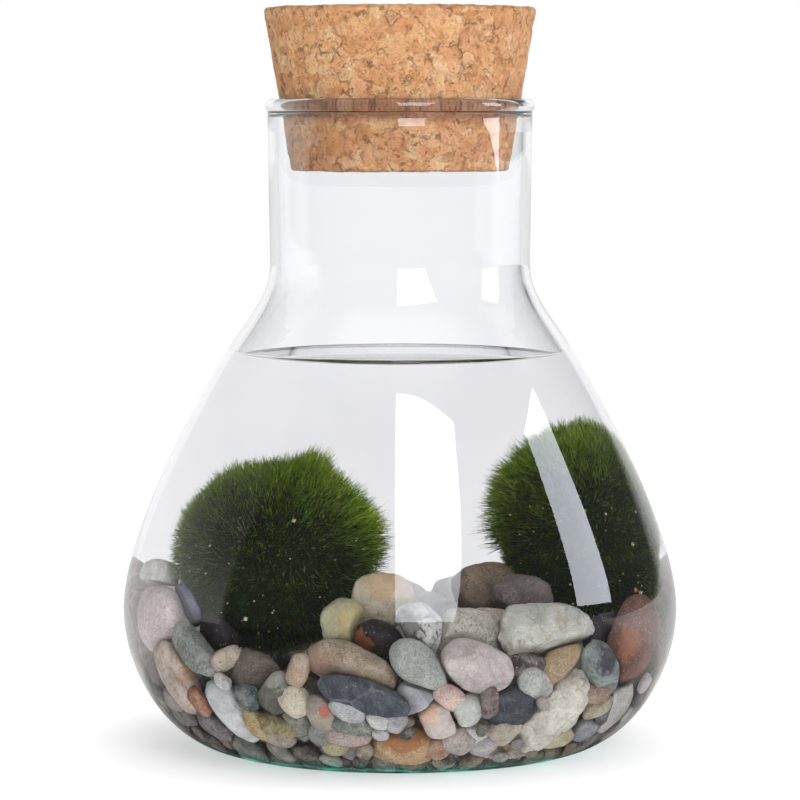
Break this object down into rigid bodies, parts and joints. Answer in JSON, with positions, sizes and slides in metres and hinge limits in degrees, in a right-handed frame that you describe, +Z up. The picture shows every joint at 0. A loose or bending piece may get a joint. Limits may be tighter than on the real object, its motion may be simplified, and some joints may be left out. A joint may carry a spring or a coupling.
{
  "type": "marimo moss ball jar",
  "caption": "Corked clear glass flask, round-bellied with a straight neck, holding water, marimo moss balls and a bed of mixed river pebbles.",
  "frame": {"origin": "middle of the flask's flat base, on the surface it stands on", "axes": "+Z up through the neck and cork; -Y is the front, where the two moss balls show side by side"},
  "size_m": [0.11, 0.11, 0.1465],
  "materials": {
    "clear_glass": "clear blown glass, fire-polished lip, greenish through the thick base",
    "cork": "agglomerated cork, matt, with dark crevices between the grains",
    "water": "clear still water",
    "moss": "soft felted green algae threads, brighter at the tips",
    "gravel": "wet small river gravel in mixed colours",
    "pale_stone": "wet smooth quartz and marble pebbles",
    "grey_stone": "wet smooth grey pebbles, some speckled",
    "dark_stone": "wet smooth slate and basalt pebbles",
    "warm_stone": "wet smooth tan, ochre and terracotta pebbles"
  },
  "bodies": {
    "root": {"cork_stopper": "cork", "flask": "clear_glass", "gravel": "gravel", "moss_ball_left": "moss", "moss_ball_right": "moss", "pebble_back_1_1": "pale_stone", "pebble_back_1_2": "pale_stone", "pebble_back_1_3": "dark_stone", "pebble_back_1_4": "dark_stone", "pebble_back_1_5": "grey_stone", "pebble_back_1_6": "warm_stone", "pebble_back_1_7": "warm_stone", "pebble_back_2_1": "pale_stone", "pebble_back_2_2": "pale_stone", "pebble_back_2_3": "pale_stone", "pebble_back_2_4": "dark_stone", "pebble_back_2_5": "dark_stone", "pebble_back_2_6": "grey_stone", "pebble_back_2_7": "warm_stone", "pebble_beige_sandstone": "pale_stone", "pebble_black_basalt": "dark_stone", "pebble_black_veined": "pale_stone", "pebble_blue_grey": "grey_stone", "pebble_brown_back": "dark_stone", "pebble_brown_pink": "warm_stone", "pebble_charcoal": "dark_stone", "pebble_craggy_cream": "pale_stone", "pebble_cream_quartz": "pale_stone", "pebble_cream_slab": "pale_stone", "pebble_dark_purple": "dark_stone", "pebble_gold_slate": "warm_stone", "pebble_green_chert": "dark_stone", "pebble_green_white": "pale_stone", "pebble_grey_back": "dark_stone", "pebble_grey_green": "grey_stone", "pebble_grey_quartz": "grey_stone", "pebble_light_grey": "grey_stone", "pebble_mound_1": "pale_stone", "pebble_mound_2": "pale_stone", "pebble_mound_3": "dark_stone", "pebble_ochre_tan": "warm_stone", "pebble_pale_right": "pale_stone", "pebble_peach_pink": "pale_stone", "pebble_peach_quartz": "pale_stone", "pebble_pink_granite": "pale_stone", "pebble_pink_white": "pale_stone", "pebble_pitted_white": "pale_stone", "pebble_red_spot": "pale_stone", "pebble_round_slate": "dark_stone", "pebble_sandstone": "warm_stone", "pebble_slate_bar": "dark_stone", "pebble_smoky_slab": "dark_stone", "pebble_speckled_bar": "grey_stone", "pebble_tan_granite": "warm_stone", "pebble_taupe_disc": "dark_stone", "pebble_terracotta": "warm_stone", "pebble_veined_quartz": "pale_stone", "pebble_white_grey": "pale_stone", "pebble_white_oval": "pale_stone", "water": "water"}
  },
  "joints": []
}
